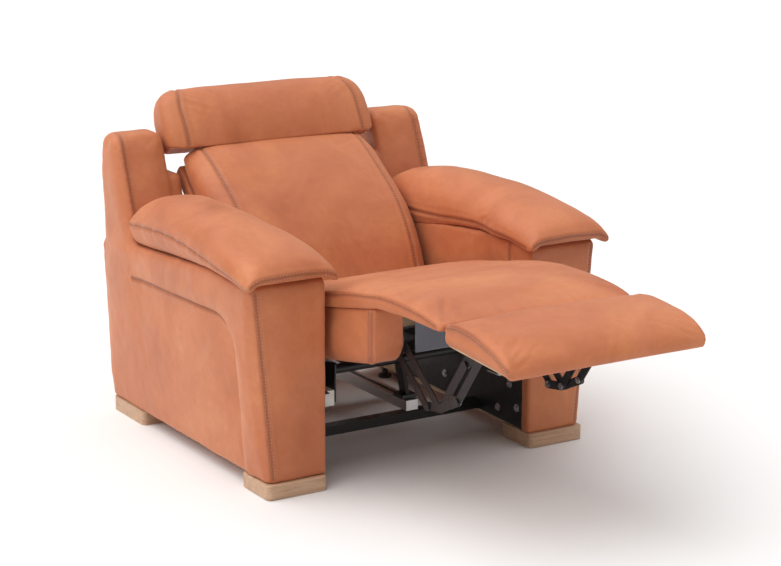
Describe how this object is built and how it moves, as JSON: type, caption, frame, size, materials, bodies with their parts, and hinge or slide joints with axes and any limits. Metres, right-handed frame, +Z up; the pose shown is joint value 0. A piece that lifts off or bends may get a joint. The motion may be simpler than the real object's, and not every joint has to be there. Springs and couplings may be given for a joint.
{
  "type": "recliner armchair",
  "caption": "Leather recliner armchair with a sliding seat, a fold-out footrest on bar links, a reclining back and a tilting headrest.",
  "frame": {"origin": "bottom centre of the bounding box, on the floor, with the footrest out", "axes": "+Z up, -Y towards the front where the footrest comes out, +X to the right as seen from the front"},
  "size_m": [1.112, 1.7578, 0.9116],
  "materials": {
    "leather_tan": "soft nubuck-like leather, cloudy, satin",
    "beech": "satin lacquered light wood",
    "plywood": "raw board",
    "black_steel": "black powder coat, semi-gloss",
    "bright_steel": "zinc-plated",
    "aluminium_rail": "extruded, matt",
    "black_plastic": "fine texture",
    "nylon": "natural",
    "silver_button": "satin",
    "grey_lining": "non-woven",
    "webbing": "woven elastic"
  },
  "bodies": {
    "base": {"arm_cover_left": "leather_tan", "arm_cover_right": "leather_tan", "wing_left": "leather_tan", "wing_right": "leather_tan", "arm_pillow_left": "leather_tan", "arm_pillow_right": "leather_tan", "arm_inner_boards": "plywood", "arm_frames": "plywood", "front_feet": "beech", "rear_feet": "beech", "rear_glides": "black_plastic", "base_side_plates": "black_steel", "seat_tracks": "black_steel", "base_bolts": "bright_steel", "front_cross_rail": "black_steel", "rear_cross_rail": "black_steel", "rear_lower_panel": "leather_tan", "actuator_rail": "aluminium_rail", "actuator_motor": "black_plastic", "control_box": "black_plastic", "power_inlet": "black_plastic", "switch_plate": "black_plastic"},
    "open_button": {"open_button": "silver_button"},
    "close_button": {"close_button": "silver_button"},
    "seat": {"seat_side_left": "leather_tan", "seat_side_right": "leather_tan", "seat_cushion": "leather_tan", "seat_front_board": "plywood", "seat_rear_board": "plywood", "seat_webbing": "webbing", "front_lining": "grey_lining", "seat_link_plates": "black_steel", "seat_link_pins": "bright_steel", "seat_cross_tube": "black_steel", "carriage_plates": "black_steel", "slide_shoes": "nylon", "drive_bracket": "black_steel", "recline_brackets": "black_steel", "recline_shaft": "bright_steel"},
    "footrest": {"footrest_pad": "leather_tan", "footrest_board": "plywood", "footrest_brackets": "black_steel", "chaise_pad": "leather_tan"},
    "main_links": {"main_links": "black_steel", "main_link_pins": "bright_steel"},
    "guide_links": {"guide_links": "black_steel", "guide_link_pins": "bright_steel"},
    "middle_links": {"middle_links": "black_steel", "middle_link_pins": "bright_steel"},
    "front_links": {"front_links": "black_steel", "front_link_pins": "bright_steel"},
    "back": {"back_cushion": "leather_tan", "back_frame": "plywood", "back_shell": "leather_tan", "recline_arms": "black_steel", "recline_motor": "black_plastic", "headrest_brackets": "black_steel", "headrest_pin": "bright_steel"},
    "headrest": {"headrest_plate": "plywood", "headrest_pad": "leather_tan"}
  },
  "joints": [
    {"name": "seat_slide", "type": "slide", "parent": "base", "child": "seat", "axis": [0, 1, 0], "range_m": [0, 0.215]},
    {"name": "footrest_fold", "type": "hinge", "parent": "seat", "child": "footrest", "pos_m": [0, -0.37689, 0.545], "axis": [1, 0, 0], "range_deg": [0, 86]},
    {"name": "main_link_swing", "type": "hinge", "parent": "seat", "child": "main_links", "pos_m": [0, -0.27889, 0.412], "axis": [1, 0, 0], "range_deg": [0, 86]},
    {"name": "guide_link_swing", "type": "hinge", "parent": "seat", "child": "guide_links", "pos_m": [0, -0.22089, 0.403], "axis": [1, 0, 0], "range_deg": [0, 86]},
    {"name": "middle_link_turn", "type": "hinge", "parent": "main_links", "child": "middle_links", "pos_m": [0, -0.44589, 0.282], "axis": [1, 0, 0], "range_deg": [-86, 0]},
    {"name": "front_link_turn", "type": "hinge", "parent": "main_links", "child": "front_links", "pos_m": [0, -0.51789, 0.316], "axis": [1, 0, 0], "range_deg": [-86, 0]},
    {"name": "back_recline", "type": "hinge", "parent": "seat", "child": "back", "pos_m": [0, 0.40111, 0.385], "axis": [1, 0, 0], "range_deg": [0, 33]},
    {"name": "headrest_tilt", "type": "hinge", "parent": "back", "child": "headrest", "pos_m": [0, 0.76338, 0.72966], "axis": [1, 0, 0], "range_deg": [-38, 0]},
    {"name": "open_button_press", "type": "slide", "parent": "base", "child": "open_button", "axis": [-1, 0, 0], "range_m": [0, 0.0015], "stiffness_N_per_m": 400},
    {"name": "close_button_press", "type": "slide", "parent": "base", "child": "close_button", "axis": [-1, 0, 0], "range_m": [0, 0.0015], "stiffness_N_per_m": 400}
  ],
  "couplings": [
    {"joint": "footrest_fold", "follows": "seat_slide", "rad_per_m": 6.9813},
    {"joint": "main_link_swing", "follows": "seat_slide", "rad_per_m": 6.9813},
    {"joint": "guide_link_swing", "follows": "seat_slide", "rad_per_m": 6.9813},
    {"joint": "middle_link_turn", "follows": "seat_slide", "rad_per_m": -6.9813},
    {"joint": "front_link_turn", "follows": "seat_slide", "rad_per_m": -6.9813}
  ]
}
